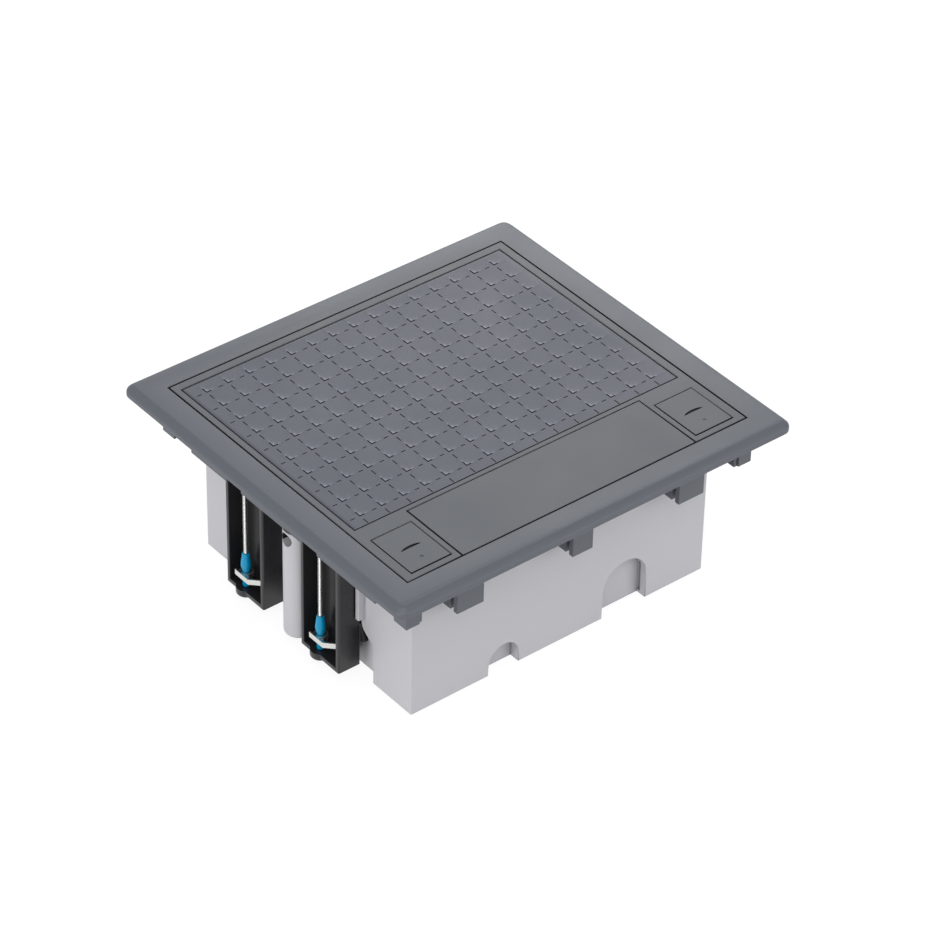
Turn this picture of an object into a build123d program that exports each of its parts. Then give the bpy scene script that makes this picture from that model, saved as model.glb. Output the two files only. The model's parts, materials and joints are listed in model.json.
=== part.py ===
"""Floor socket box: a hinged lid in a frame, over a tub with sockets, held in the floor by four claws.

Millimetres, +Z up, front towards -Y, origin at the centre of the base.
"""

import math
import os

from build123d import *

os.makedirs("parts", exist_ok=True)

# overall
box_h = 92.0
lid_w = 200.0
lid_d = 181.8
lid_gap = 0.6
fit = 0.3
pin_play = 0.05
screw_play = 0.2

# frame
flange_out = 15.4
flange_t = 5.3
flange_r = 5.5
bevel_w = 3.0
bevel_h = 2.6
skirt_t = 2.0
skirt_front_h = 18.8
skirt_side_h = 24.8
skirt_raise = 2.0
skirt_low_end = 22.9
ledge_depth = 8.0
ledge_t = 2.5
ledge_side_w = 15.0
ledge_front_w = 14.0
leg_h = 30.4
leg_w = 15.4
leg_in = 34.2
mid_leg_w = 12.0
leg_plate_t = 2.8
leg_groove = 2.2
leg_web = 3.0
corner_leg_w = 7.8
corner_leg_l = 9.3
corner_leg_h = 25.2
corner_rib_t = 2.0
notch_h = 2.0
notch_w = 11.0
notch_off = 5.7

# screws between frame and tub
frame_screw_r = 1.75
frame_nut_r = 3.46
frame_nut_h = 2.8
frame_head_r = 3.4
frame_head_h = 1.9
frame_screw_end = 1.5
frame_head_sink = 1.0

# tub
tub_side_in = 11.7
tub_end_in = 11.4
wall = 2.4
floor_t = 2.6
recess_depth = 5.4
tongue_room = 9.0
rear_room = 16.5
shoulder_z = 20.0
shoulder_mid_w = 3.4
shoulder_mid_h = 4.95
shoulder_rise = 12.2
stop_rail_w = 2.65
stop_rail_out = 3.7
stop_rail_z = 35.0
guide_w = 2.4
guide_z = 34.0
column_w = 14.5
column_gap = 1.2
column_out = 11.3
column_nose = 9.0
column_wall = 2.2
column_bottom = 5.0
pocket_drop = 29.5
pocket_r = 3.6
small_arch_r = 9.0
small_arch_x = -33.7
small_arch_z = 5.9
large_arch_r = 13.35
large_arch_x = 39.35
large_arch_z = 15.3
arch_depth = 6.0
score_w = 2.0
score_depth = 1.2
score_bottom = 1.4
score_top = 20.0

# claws
claw_pitch = 58.25
claw_mid = 1.9
claw_w = 29.2
claw_proud = 1.3
claw_depth = 12.4
claw_wall = 2.4
claw_back_t = 4.0
claw_edge_r = 1.0
claw_bottom = 5.8
claw_key_w = 10.0
claw_screw_r = 1.25
claw_screw_in = 3.4
claw_screw_off = 3.6
foot_r = 5.2
foot_h = 1.9
foot_bearing = 0.5
head_r = 2.7
head_h = 2.0
tongue_out = 3.6
tongue_t = 2.4
tongue_z = 19.0
tongue_tip_z = 21.2
tongue_top_z = 30.5
bead_r = 2.6
bead_wide_z = 20.8
bead_top_z = 27.8
claw_plate_z = 14.1
claw_plate_h = 3.0
claw_plate_t = 1.2
plate_play = 0.1
wing_l = 9.8
wing_in = 9.0
wing_rear = 3.8
wing_angle = 44.0
plate_in = 3.1
hub_r = 3.6
carrier_neck_r = 1.9
carrier_foot_gap = 0.2
carrier_collar = 0.4

# lid
lid_plate = 3.0
lid_rim_t = 2.2
lid_rim_h = 7.7
insert_left = 3.83
insert_right = 4.67
insert_front = 43.6
insert_rear = 4.8
insert_t = 2.0
insert_gap = 0.3
stiff_t = 1.2
stiff_gap = 0.3
web_t = 2.0
lid_rib_t = 1.6
lid_rib_pitch = 30.0
well_wall = 1.6
lid_axis_in = 5.0
lid_axis_down = 1.9
lid_pin_r = 1.1
lid_pin_l = 7.0
lid_boss_l = 4.2

# cable flap
flap_in = 31.3
flap_d = 40.3
flap_gap = 0.4
flap_t = 2.6
flap_axis_in = 4.0
flap_axis_down = 1.45
flap_pin_r = 0.9
flap_pin_l = 1.8
flap_pin_root = 3.0
flap_socket_l = 2.4
flap_rim_h = 5.0
flap_rim_t = 2.0
flap_rib_t = 1.6
flap_rib_in = 4.0
flap_rest_w = 1.9
flap_rest_t = 1.5
flap_frame_w = 2.0
flap_rest_front = 6.0
flap_rest_rear = 12.0

# latches
latch_w = 22.3
latch_d = 28.9
latch_in = 16.35
latch_y = 4.1
latch_gap = 0.5
latch_t = 2.4
latch_axis = 13.0
latch_axis_down = 1.7
latch_pin_r = 1.0
latch_pin_l = 1.6
latch_pin_end = 0.2
scoop_r = 6.15
scoop_y = 18.5
scoop_l = 3.4
scoop_depth = 0.8
nose_w = 9.0
nose_t = 1.6
nose_reach = 1.6
nose_drop = 4.6
nose_arm_t = 2.4
nose_arm_off = 2.0
nose_gap = 0.6
window_drop = 14.5
window_over = 0.2
latch_notch = 10.5
spring_t = 0.4
spring_w = 4.4
spring_off = 8.0
spring_shelf = 9.0
spring_shelf_t = 1.2
spring_front = 1.5
spring_step = 1.0
latch_rest_l = 4.0
latch_rest_t = 1.5

# inside
module = 45.0
module_gap = 0.2
module_depth = 24.0
module_lip = 1.6
module_play = 0.1
carrier_edge = 3.5
carrier_end = 2.2
carrier_space = 2.2
carrier_t = 2.0
carrier_z = 41.0
carrier_lip = 9.0
carrier_leg = 9.0
carrier_wall = 1.6
carrier_rim = 1.5
well_rim = 3.0
well_depth = 15.0
contact_r = 2.4
contact_off = 9.5
contact_depth = 5.0
earth_w = 4.0
earth_t = 2.7
earth_drop = 3.0
port_w = 12.0
port_h = 10.0
port_off = 10.0
port_depth = 12.0
port_key_w = 4.0
port_key_h = 2.5
divider_t = 1.2
divider_h = 40.0
divider_end = 1.0
divider_hole_w = 12.0
divider_hole_pitch = 40.0
divider_hole_z = 16.0
divider_foot_w = 4.0
divider_foot_h = 4.0
divider_play = 0.1

cut = 1.0
top = box_h
half_lid_w = lid_w / 2
half_lid_d = lid_d / 2
open_w = lid_w + 2 * lid_gap
open_d = lid_d + 2 * lid_gap
skirt_w = open_w + 2 * skirt_t
skirt_d = open_d + 2 * skirt_t
skirt_side_z = top - skirt_side_h
flange_z = top - flange_t
ledge_top = top - ledge_depth
ledge_z = ledge_top - ledge_t
head_seat_z = ledge_top - frame_head_sink
body_w = lid_w - 2 * tub_side_in
body_d = lid_d - 2 * tub_end_in
half_body_w = body_w / 2
half_body_d = body_d / 2
side_x = half_body_w - recess_depth
front_y = -half_lid_d
axis_lid_y = half_lid_d - lid_axis_in
axis_lid_z = top - lid_axis_down
axis_flap_y = front_y + flap_d - flap_axis_in
axis_flap_z = top - flap_axis_down
axis_latch_y = front_y + latch_axis
axis_latch_z = top - latch_axis_down
nose_top = top - nose_drop
latch_x = half_lid_w - latch_in
leg_x = half_lid_w - leg_in
flap_w = lid_w - 2 * flap_in
insert_w = lid_w - insert_left - insert_right
insert_d = lid_d - insert_front - insert_rear
insert_x = (insert_left - insert_right) / 2
insert_y = (insert_front - insert_rear) / 2
claw_face = half_lid_w + claw_proud
claw_back = claw_face - claw_depth
screw_x = -(claw_face - claw_screw_in)
claw_ys = (claw_mid + claw_pitch / 2, claw_mid - claw_pitch / 2)
recess_front = claw_ys[1] - claw_w / 2 - tongue_room
recess_rear = claw_ys[0] + claw_w / 2 + rear_room
column_x = -(side_x + column_out)
column_y = claw_ys[1] + claw_w / 2 + column_gap + column_w / 2
pocket_z = top - pocket_drop
inner_w = 2 * (side_x - wall)
inner_d = body_d - 2 * wall
carrier_w = module + 2 * carrier_edge
carrier_pitch = carrier_w + carrier_space
columns = int((inner_w + carrier_space) // carrier_pitch)
module_pitch = module + module_gap
rows = int((inner_d - 2 * carrier_end) // module_pitch)
carrier_l = rows * module_pitch + 2 * carrier_end
divider_half = carrier_l / 2 - carrier_leg - divider_end
module_top = carrier_z + module_lip
well_r = module / 2 - well_rim


def block(x0, x1, y0, y1, z0, z1):
    """A box between two corners, given in any order."""
    place = Pos((x0 + x1) / 2, (y0 + y1) / 2, (z0 + z1) / 2)
    return place * Box(abs(x1 - x0), abs(y1 - y0), abs(z1 - z0))


def ring(w, d, t, z0, z1):
    """A rectangular wall whose outside is w by d."""
    outer = block(-w / 2, w / 2, -d / 2, d / 2, z0, z1)
    return outer - block(-w / 2 + t, w / 2 - t, -d / 2 + t, d / 2 - t, z0 - cut, z1 + cut)


def bar_y(r, x, z, y0, y1):
    """A round bar along Y."""
    return Pos(x, (y0 + y1) / 2, z) * Rot(90, 0, 0) * Cylinder(r, abs(y1 - y0))


def bar_x(r, y, z, x0, x1):
    """A round bar along X."""
    return Pos((x0 + x1) / 2, y, z) * Rot(0, 90, 0) * Cylinder(r, abs(x1 - x0))


def bar_z(r, x, y, z0, z1):
    """A round bar along Z."""
    return Pos(x, y, (z0 + z1) / 2) * Cylinder(r, abs(z1 - z0))


def arch(x, z, r, y0, y1):
    """A round-topped block that stands on the base plane."""
    above = block(x - r, x + r, y0, y1, 0, z + r)
    return (bar_y(r, x, z, y0, y1) & above) + block(x - r, x + r, y0, y1, 0, z)


def nose(r, root, reach, y, z0, z1):
    """A block from x = root out to a round end of radius r at x = -reach."""
    return block(root, -reach + r, y - r, y + r, z0, z1) + bar_z(r, -reach + r, y, z0, z1)


# Frame: bevelled flange, skirt round the lid opening, ledge, legs
def make_frame():
    w = lid_w + 2 * lid_gap + 2 * flange_out
    d = lid_d + 2 * lid_gap + 2 * flange_out
    plate = extrude(RectangleRounded(w, d, flange_r), flange_t)
    upper = plate.faces().sort_by(Axis.Z)[-1].outer_wire().edges()
    plate = chamfer(upper, bevel_h, bevel_w)
    frame = Pos(0, 0, flange_z) * plate
    frame += ring(skirt_w, skirt_d, skirt_t, top - corner_leg_h, flange_z)
    frame -= block(-open_w / 2, open_w / 2, -open_d / 2, open_d / 2, 0, top + cut)
    low = top - skirt_front_h
    x = skirt_w / 2 - corner_leg_w
    for s in (-1, 1):
        y = s * skirt_d / 2
        frame -= block(-x, x, y - s * (skirt_t + cut), y + s * cut, 0, low)
    y = skirt_d / 2 - corner_leg_l
    for s in (-1, 1):
        x = s * skirt_w / 2
        frame -= block(x - s * (skirt_t + cut), x + s * cut, -y, y, 0, skirt_side_z)
        for t in (-1, 1):
            frame -= block(x - s * (skirt_t + cut), x + s * cut, t * y, t * (skirt_d / 2 - skirt_low_end),
                           0, skirt_side_z + skirt_raise)
    ledge = block(-open_w / 2, open_w / 2, -open_d / 2, open_d / 2, ledge_z, ledge_top)
    ledge -= block(-open_w / 2 + ledge_side_w, open_w / 2 - ledge_side_w,
                   -open_d / 2 + ledge_front_w, open_d / 2 - ledge_front_w, 0, top)
    frame += ledge
    for s in (-1, 1):
        for x, w in ((0, mid_leg_w), (-leg_x, leg_w), (leg_x, leg_w)):
            frame += leg(x, w, s)
        for t in (-1, 1):
            frame += corner_rib(t, s)
    for turn in (0, 180):
        side = Rot(0, 0, turn)
        for y in claw_ys:
            frame -= side * claw_notch(y)
            frame -= side * bar_z(head_r + fit, screw_x, y + claw_screw_off, 0, ledge_top + fit)
        frame -= side * bar_z(frame_screw_r + screw_play, column_x, column_y, 0, top)
        frame -= side * bar_z(frame_head_r + screw_play, column_x, column_y, head_seat_z, top)
    half = nose_w / 2 + cut
    for s in (-1, 1):
        x = s * latch_x
        frame -= block(x - half, x + half, -skirt_d / 2 - cut, -open_d / 2 + latch_notch,
                       top - window_drop, nose_top + window_over)
        frame -= bar_x(lid_pin_r, axis_lid_y, axis_lid_z, s * half_lid_w, s * (half_lid_w + lid_pin_l / 2))
    return frame


def leg(x, w, s):
    """A leg under the front (s = -1) or rear (s = 1) skirt: plate, web and a block against the tub."""
    y_out = s * skirt_d / 2
    y_in = s * (half_body_d + fit)
    shape = block(x - w / 2, x + w / 2, y_in, y_out, top - leg_h, ledge_z)
    y0 = y_out - s * leg_plate_t
    for side in (-1, 1):
        shape -= block(x + side * leg_web / 2, x + side * w, y0, y0 - s * leg_groove, 0, top)
    return shape


def corner_rib(t, s):
    """A rib from the corner of the skirt back towards the tub."""
    x1 = skirt_w / 2 - corner_leg_w
    y0, y1 = s * (half_body_d + fit), s * open_d / 2
    return block(t * x1, t * (x1 - corner_rib_t), y0, y1 + s * corner_rib_t / 2, top - corner_leg_h, ledge_z)


def claw_notch(y):
    """The skirt's cut-outs over a claw: a step above the screw and a seat for the housing."""
    x0, x1 = -skirt_w / 2 - cut, -open_w / 2 + pin_play
    middle = y + notch_off
    step = block(x0, x1, middle - notch_w / 2, middle + notch_w / 2, 0, skirt_side_z + notch_h)
    half = claw_w / 2 + fit
    return step + block(-claw_face - fit, x1, y - half, y + half, 0, ledge_z)


frame = make_frame()


# Tub: walls that step in beside the claws, arched knock-outs, side columns
def tub_plan(inset):
    """The tub's outline from above, moved inwards by inset."""
    x = half_body_w - inset
    xr = side_x - inset
    y = half_body_d - inset
    a = recess_front - inset
    b = recess_rear + inset
    left = [(-x, -y), (-x, a), (-xr, a), (-xr, b), (-x, b), (-x, y)]
    right = [(-px, -py) for px, py in left]
    return make_face(Polyline(*left, *right, close=True))


def shoulder():
    """The upper part of the front corner block, cut back by an S-curve, and the stop rail beside it."""
    y = recess_front
    stop_y = claw_ys[1] - claw_w / 2 - fit
    low = (y, shoulder_z)
    mid = (y + shoulder_mid_w, shoulder_z + shoulder_mid_h)
    high = (stop_y, shoulder_z + shoulder_rise)
    curve = Spline(low, mid, high, tangents=((0, 1), (0, 1)))
    rest = Polyline(high, (stop_y, ledge_z), (y, ledge_z), low)
    face = make_face(Curve() + [curve, rest])
    solid = Pos(-half_body_w, 0, 0) * extrude(Plane.YZ * face, recess_depth)
    rail_y = stop_y - stop_rail_w
    return solid + block(-half_body_w - stop_rail_out, -side_x, rail_y, stop_y, stop_rail_z, ledge_z)


def column():
    """A cored round-nosed column that takes the frame's screw and its nut."""
    r = column_w / 2
    root = -side_x + wall / 2
    low_reach = -column_x + column_nose
    high_reach = open_w / 2 - fit
    nose_z = skirt_side_z - fit
    solid = nose(r, root, low_reach, column_y, column_bottom, nose_z)
    rim = solid.edges().filter_by(GeomType.CIRCLE).sort_by(Axis.Z)[0]
    solid = fillet(rim, column_wall)
    solid += nose(r, root, high_reach, column_y, nose_z, ledge_z)
    core_top = pocket_z - pocket_r - column_wall
    solid -= nose(r - column_wall, -side_x, low_reach - column_wall, column_y, 0, core_top)
    solid -= bar_z(frame_screw_r + screw_play, column_x, column_y, pocket_z, top)
    return solid - bar_x(pocket_r, column_y, pocket_z, -low_reach - cut, column_x + frame_nut_r + fit)


def knock_outs():
    """The arched cable entries in the front wall: bosses, and the hollows cut into them."""
    y0 = -half_body_d
    y1 = y0 + arch_depth
    bosses, hollows = [], []
    for x, z, r in ((small_arch_x, small_arch_z, small_arch_r), (large_arch_x, large_arch_z, large_arch_r)):
        bosses.append(arch(x, z, r + wall, y0 + wall, y1 + wall))
        hollows.append(arch(x, z, r, y0 - cut, y1))
        hollows.append(block(x - r, x + r, y0 - cut, y1, -cut, z))
    side = large_arch_r + score_depth
    hollows.append(block(large_arch_x - side, large_arch_x + side, y1 - fit - score_w, y1 - fit,
                         score_bottom, score_top))
    return bosses, hollows


def make_tub():
    tub = extrude(tub_plan(0), ledge_z)
    bosses, hollows = knock_outs()
    for turn in (0, 180):
        side = Rot(0, 0, turn)
        tub += side * shoulder()
        tub += side * column()
        for y in claw_ys:
            for s in (-1, 1):
                inner = y + s * (claw_key_w / 2 + fit)
                tub += side * block(-side_x, -claw_back + fit, inner, inner + s * guide_w, guide_z, ledge_z)
    inside = Pos(0, 0, floor_t) * extrude(tub_plan(wall), ledge_z)
    for turn in (0, 180):
        for boss in bosses:
            inside -= Rot(0, 0, turn) * boss
    tub -= inside
    for turn in (0, 180):
        for hollow in hollows:
            tub -= Rot(0, 0, turn) * hollow
    for x in divider_xs:
        end = divider_half + divider_play
        half = divider_foot_w / 2
        slot = divider_t / 2 + divider_play
        foot_top = floor_t + divider_foot_h
        tub += block(x - half, x + half, -end, end, floor_t, foot_top)
        tub -= block(x - slot, x + slot, -end - cut, end + cut, floor_t, foot_top + cut)
    return tub


carrier_xs = [(i - (columns - 1) / 2) * carrier_pitch for i in range(columns)]
divider_xs = [(a + b) / 2 for a, b in zip(carrier_xs, carrier_xs[1:])]
module_ys = [(j - (rows - 1) / 2) * module_pitch for j in range(rows)]
tub = make_tub()


# Claw housing: an open-fronted channel with a floor, a bearing foot, a key and a tongue
def make_claw_housing(y):
    w = claw_w / 2
    shell = block(-claw_face, -claw_back, y - w, y + w, claw_bottom, ledge_z)
    front = shell.edges().filter_by(Axis.Z).sort_by(Axis.X)[:2]
    shell = fillet(front, claw_edge_r)
    shell -= block(-claw_face - cut, -claw_back - claw_back_t, y - w + claw_wall, y + w - claw_wall,
                   claw_bottom + claw_wall, ledge_z - claw_wall)
    s = y + claw_screw_off
    shell += bar_z(foot_r, screw_x, s, claw_bottom - foot_h, claw_bottom + claw_wall)
    shell -= bar_z(claw_screw_r + plate_play, screw_x, s, claw_bottom - foot_bearing, top)
    shell += block(-claw_back, -side_x - fit, y - claw_key_w / 2, y + claw_key_w / 2, claw_bottom, ledge_z)
    tip = y - w - tongue_out
    root = y - claw_key_w / 2
    tongue = make_face(Polyline(
        (root, tongue_z), (y - w, tongue_z), (tip, tongue_tip_z), (y - w, tongue_top_z),
        (root, tongue_top_z), close=True))
    return shell + Pos(-claw_back, 0, 0) * extrude(Plane.YZ * tongue, tongue_t)


def make_claw_screw(y):
    s = y + claw_screw_off
    screw = bar_z(claw_screw_r, screw_x, s, claw_bottom - foot_bearing, ledge_z + head_h / 2)
    return screw + bar_z(head_r, screw_x, s, ledge_z, ledge_z + head_h)


def make_claw_carrier(y):
    """Blue threaded carrier: a collar below the claw plate and a drop-shaped bead above it."""
    r = claw_screw_r + pin_play
    low = claw_bottom + claw_wall + carrier_foot_gap
    neck = carrier_neck_r
    z0 = claw_plate_z - plate_play
    z1 = claw_plate_z + claw_plate_h + plate_play
    profile = Polyline((r, low), (bead_r, low), (bead_r, z0), (neck, z0), (neck, z1),
                       (neck + carrier_collar, z1), (bead_r, bead_wide_z), (neck - plate_play, bead_top_z),
                       (r, bead_top_z), close=True)
    body = revolve(Plane.XZ * make_face(profile), Axis.Z)
    return Pos(screw_x, y + claw_screw_off, 0) * body


def make_claw_plate(y):
    """Bent zinc plate that swings out and bites under the floor panel."""
    s = y + claw_screw_off
    bore = carrier_neck_r + pin_play
    x = screw_x - plate_in
    a = math.radians(wing_angle)
    rear = s + wing_rear
    bend = rear - wing_l
    end = (x + wing_in * math.sin(a), bend - wing_in * math.cos(a))
    line = Polyline((x, rear), (x, bend), end)
    strip = make_face(offset(line, claw_plate_t / 2, kind=Kind.INTERSECTION, side=Side.BOTH))
    plate = extrude(strip, claw_plate_h)
    plate += Pos(screw_x, s, 0) * extrude(Circle(hub_r), claw_plate_h)
    plate -= bar_z(bore, screw_x, s, -cut, claw_plate_h + cut)
    return Pos(0, 0, claw_plate_z) * plate


# Lid: tray for the insert, window for the flap, wells for the latches
def make_lid():
    x, y = half_lid_w, half_lid_d
    rim_rear = axis_lid_y
    low = top - lid_rim_h
    under = top - lid_plate
    lid = block(-x, x, -y, y, low, top)
    lid -= block(-x - cut, x + cut, rim_rear, y + cut, 0, under)
    lid -= block(-x + lid_rim_t, x - lid_rim_t, -y + lid_rim_t, rim_rear - lid_rim_t, 0, under)
    ix = insert_w / 2 + insert_gap
    iy = insert_d / 2 + insert_gap
    floor_z = top - insert_t - stiff_t - web_t
    lid += block(insert_x - ix, insert_x + ix, insert_y - iy - lid_rib_t, insert_y + iy + lid_rib_t,
                 floor_z, under)
    half = lid_rib_t / 2
    n = int((insert_w / 2 - lid_rib_pitch / 2) // lid_rib_pitch)
    for i in range(-n, n + 1):
        gx = i * lid_rib_pitch
        lid += block(gx - half, gx + half, insert_y - iy, rim_rear - half, low, floor_z)
    m = int((insert_d / 2 - lid_rib_pitch / 2) // lid_rib_pitch)
    for i in range(-m, m + 1):
        gy = insert_y + i * lid_rib_pitch
        lid += block(-x + half, x - half, gy - half, gy + half, low, floor_z)
    fx = flap_w / 2 + flap_gap
    fy = front_y + flap_d + flap_gap
    lid += block(-fx - flap_frame_w, fx + flap_frame_w, -y + lid_rim_t, fy + flap_frame_w, low, under)
    hx = latch_w / 2 + latch_gap
    y0 = front_y + latch_y - latch_gap
    y1 = front_y + latch_y + latch_d + latch_gap
    for s in (-1, 1):
        lx = s * latch_x
        lid += block(lx - hx - well_wall, lx + hx + well_wall, y0 - well_wall, y1 + well_wall, low, under)
        lid += bar_x(lid_axis_down, axis_lid_y, axis_lid_z, s * x, s * (x - lid_boss_l))
    tray_z = top - insert_t - stiff_t
    lid -= block(insert_x - ix, insert_x + ix, insert_y - iy, insert_y + iy, tray_z, top + cut)
    lid -= block(-fx, fx, -y - cut, fy, 0, top + cut)
    for s in (-1, 1):
        lx = s * latch_x
        lid -= block(lx - hx, lx + hx, y0, y1, 0, top + cut)
        lid -= block(lx - nose_w / 2 - nose_gap, lx + nose_w / 2 + nose_gap, -y - cut, front_y + latch_y,
                     0, nose_top + nose_gap + window_over)
        lid += latch_floor(s)
        lid += block(s * fx, s * (fx - flap_rest_w), front_y + flap_rest_front, fy - flap_rest_rear,
                     top - flap_t - fit - flap_rest_t, top - flap_t - fit)
        lid -= bar_x(latch_pin_r + pin_play, axis_latch_y, axis_latch_z, lx - hx - latch_pin_l,
                     lx + hx + latch_pin_l)
        lid -= bar_x(lid_pin_r + pin_play, axis_lid_y, axis_lid_z, s * (x - lid_boss_l), s * (x + cut))
        lid -= bar_x(flap_pin_r + pin_play, axis_flap_y, axis_flap_z,
                     s * (fx - cut), s * (fx + flap_socket_l))
    return lid


def latch_floor(s):
    """The ledges of a latch well: one stops the tile's rear end, one carries the spring."""
    lx = s * latch_x
    hx = latch_w / 2 + latch_gap
    y0 = front_y + latch_y - latch_gap
    y1 = front_y + latch_y + latch_d + latch_gap
    rest_top = top - latch_t - fit
    shelf = block(lx - hx, lx + hx, y1 - latch_rest_l, y1, rest_top - latch_rest_t, rest_top)
    xs = lx + s * spring_off
    half = spring_w / 2 + latch_gap
    low = top - lid_rim_h
    return shelf + block(xs - half, xs + half, y0, y0 + spring_shelf, low, low + spring_shelf_t)


def make_stiffener():
    z = top - insert_t - stiff_t / 2
    return Pos(insert_x, insert_y, z) * Box(insert_w - 2 * stiff_gap, insert_d - 2 * stiff_gap, stiff_t)


def make_insert():
    return Pos(insert_x, insert_y, top - insert_t / 2) * Box(insert_w, insert_d, insert_t)


# Cable flap with two moulded pins
def make_flap():
    w = flap_w / 2
    y0 = front_y
    under = top - flap_t
    low = top - flap_rim_h
    flap = block(-w, w, y0, y0 + flap_d, under, top)
    flap += block(-w, w, y0, y0 + flap_rim_t, low, under)
    half = flap_rib_t / 2
    for x in (-w + flap_rib_in, -w / 3, w / 3, w - flap_rib_in):
        flap += block(x - half, x + half, y0 + half, axis_flap_y - flap_rim_t, low, under)
    for s in (-1, 1):
        flap += bar_x(flap_pin_r, axis_flap_y, axis_flap_z, s * (w - flap_pin_root), s * (w + flap_pin_l))
    return flap


# Latch tile: a rocker with a finger scoop, a hooked nose and two pins
def make_latch(s):
    lx = s * latch_x
    w = latch_w / 2
    y0 = front_y + latch_y
    tile = block(lx - w, lx + w, y0, y0 + latch_d, top - latch_t, top)
    edge = front_y + scoop_y
    scoop = bar_z(scoop_r, lx, edge + scoop_l - scoop_r, top - scoop_depth, top + cut)
    tile -= scoop & block(lx - scoop_r, lx + scoop_r, edge, edge + scoop_l, 0, top + cut)
    pin = w + latch_gap + latch_pin_l - latch_pin_end
    tile += bar_x(latch_pin_r, axis_latch_y, axis_latch_z, lx - pin, lx + pin)
    nose_z = nose_top - nose_t
    arm_y = axis_latch_y - nose_arm_off
    half = nose_w / 2
    tile += block(lx - half, lx + half, arm_y - nose_arm_t / 2, arm_y + nose_arm_t / 2,
                  nose_z, top - latch_t)
    tile += block(lx - half, lx + half, -open_d / 2 - nose_reach, arm_y, nose_z, nose_top)
    return tile


def make_latch_spring(s):
    """A bent leaf that stands on the well's ledge and presses the tile's front half up."""
    y0 = front_y + latch_y
    z0 = top - lid_rim_h + spring_shelf_t + spring_t / 2
    z1 = top - latch_t - spring_t / 2
    near, far = y0 + spring_front, y0 + spring_shelf - spring_step
    path = Polyline((far, z0), (near, z0), (far - spring_step, z1), (near + spring_step, z1))
    outline = offset(path, spring_t / 2, kind=Kind.INTERSECTION, side=Side.BOTH)
    leaf = extrude(Plane.YZ * make_face(outline), spring_w)
    return Pos(s * (latch_x + spring_off) - spring_w / 2, 0, 0) * leaf


# Module carriers, modules and the dividers between the columns
def make_carrier(x):
    hw, hl = carrier_w / 2, carrier_l / 2
    under = carrier_z - carrier_t
    body = block(x - hw, x + hw, -hl, hl, under, carrier_z)
    skirt = block(x - hw, x + hw, -hl, hl, carrier_z - carrier_lip, carrier_z)
    body += skirt - block(x - hw + carrier_wall, x + hw - carrier_wall, -hl - cut, hl + cut, 0, carrier_z)
    half = module / 2 - carrier_rim
    end = rows * module_pitch / 2 - carrier_rim
    body -= block(x - half, x + half, -end, end, 0, carrier_z + cut)
    for sx in (-1, 1):
        for sy in (-1, 1):
            cx, cy = x + sx * hw, sy * hl
            post = block(cx, cx - sx * carrier_leg, cy, cy - sy * carrier_leg, floor_t, under)
            cx, cy = cx - sx * carrier_wall, cy - sy * carrier_wall
            body += post - block(cx, cx - sx * carrier_leg, cy, cy - sy * carrier_leg, 0, under)
    return body


def module_body(x, y):
    m = module / 2 - carrier_rim - module_play
    f = module / 2 - module_gap
    face = block(x - f, x + f, y - f, y + f, carrier_z, module_top)
    return face + block(x - m, x + m, y - m, y + m, carrier_z - module_depth, carrier_z)


def make_socket(x, y):
    floor = module_top - well_depth
    body = module_body(x, y)
    body -= bar_z(well_r, x, y, floor, module_top + cut)
    for s in (-1, 1):
        body -= bar_z(contact_r, x + s * contact_off, y, floor - contact_depth, floor + cut)
        body += block(x - earth_w / 2, x + earth_w / 2, y + s * (well_r - earth_t),
                      y + s * (well_r + pin_play), floor, module_top - earth_drop)
    return body


def make_data(x, y):
    body = module_body(x, y)
    low = module_top - port_depth
    for s in (-1, 1):
        px = x + s * port_off
        body -= block(px - port_w / 2, px + port_w / 2, y - port_h / 2, y + port_h / 2,
                      low, module_top + cut)
        body -= block(px - port_key_w / 2, px + port_key_w / 2, y, y - port_h / 2 - port_key_h, low,
                      module_top + cut)
    return body


def make_divider(x):
    plate = block(x - divider_t / 2, x + divider_t / 2, -divider_half, divider_half, floor_t, divider_h)
    half = divider_hole_w / 2
    for y in (-divider_hole_pitch, 0, divider_hole_pitch):
        plate -= block(x - cut, x + cut, y - half, y + half, divider_hole_z, divider_hole_z + divider_hole_w)
    return plate


# Screws and nuts that hold the frame on the tub
def make_frame_screw():
    low = pocket_z - frame_nut_h / 2 - frame_screw_end
    body = bar_z(frame_screw_r, column_x, column_y, low, head_seat_z)
    return body + bar_z(frame_head_r, column_x, column_y, head_seat_z, head_seat_z + frame_head_h)


def make_frame_nut():
    ring_face = RegularPolygon(frame_nut_r, 6) - Circle(frame_screw_r + pin_play / 2)
    return Pos(column_x, column_y, pocket_z - frame_nut_h / 2) * extrude(ring_face, frame_nut_h)


def row_names(n):
    """Names for n pieces from left to right: the two ends and what lies between them."""
    middle = ["middle"] if n == 3 else [f"middle_{i}" for i in range(1, n - 1)]
    return ["left", *middle, "right"][:n]


def pair(shape):
    """A shape and its copy on the other side of the box, as two solids of one node."""
    return Compound([shape, Rot(0, 0, 180) * shape])


nodes = {
    "frame": frame,
    "tub": tub,
    "lid": make_lid(),
    "stiffener": make_stiffener(),
    "lid_insert": make_insert(),
    "cable_flap": make_flap(),
    "latch_left": make_latch(-1),
    "latch_right": make_latch(1),
}

blanks = []
for i, (side, x) in enumerate(zip(row_names(columns), carrier_xs), 1):
    nodes["carrier_" + side] = make_carrier(x)
    for j, y in enumerate(module_ys[:-1], 1):
        nodes[f"socket_{side}_{j}"] = make_socket(x, y)
    if i in (1, columns):
        nodes["data_module_" + side] = make_data(x, module_ys[-1])
    else:
        blanks.append(module_body(x, module_ys[-1]))
if blanks:
    nodes["blank_module"] = Compound(blanks)
for side, x in zip(row_names(len(divider_xs)), divider_xs):
    nodes["divider_" + side] = make_divider(x)

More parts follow.
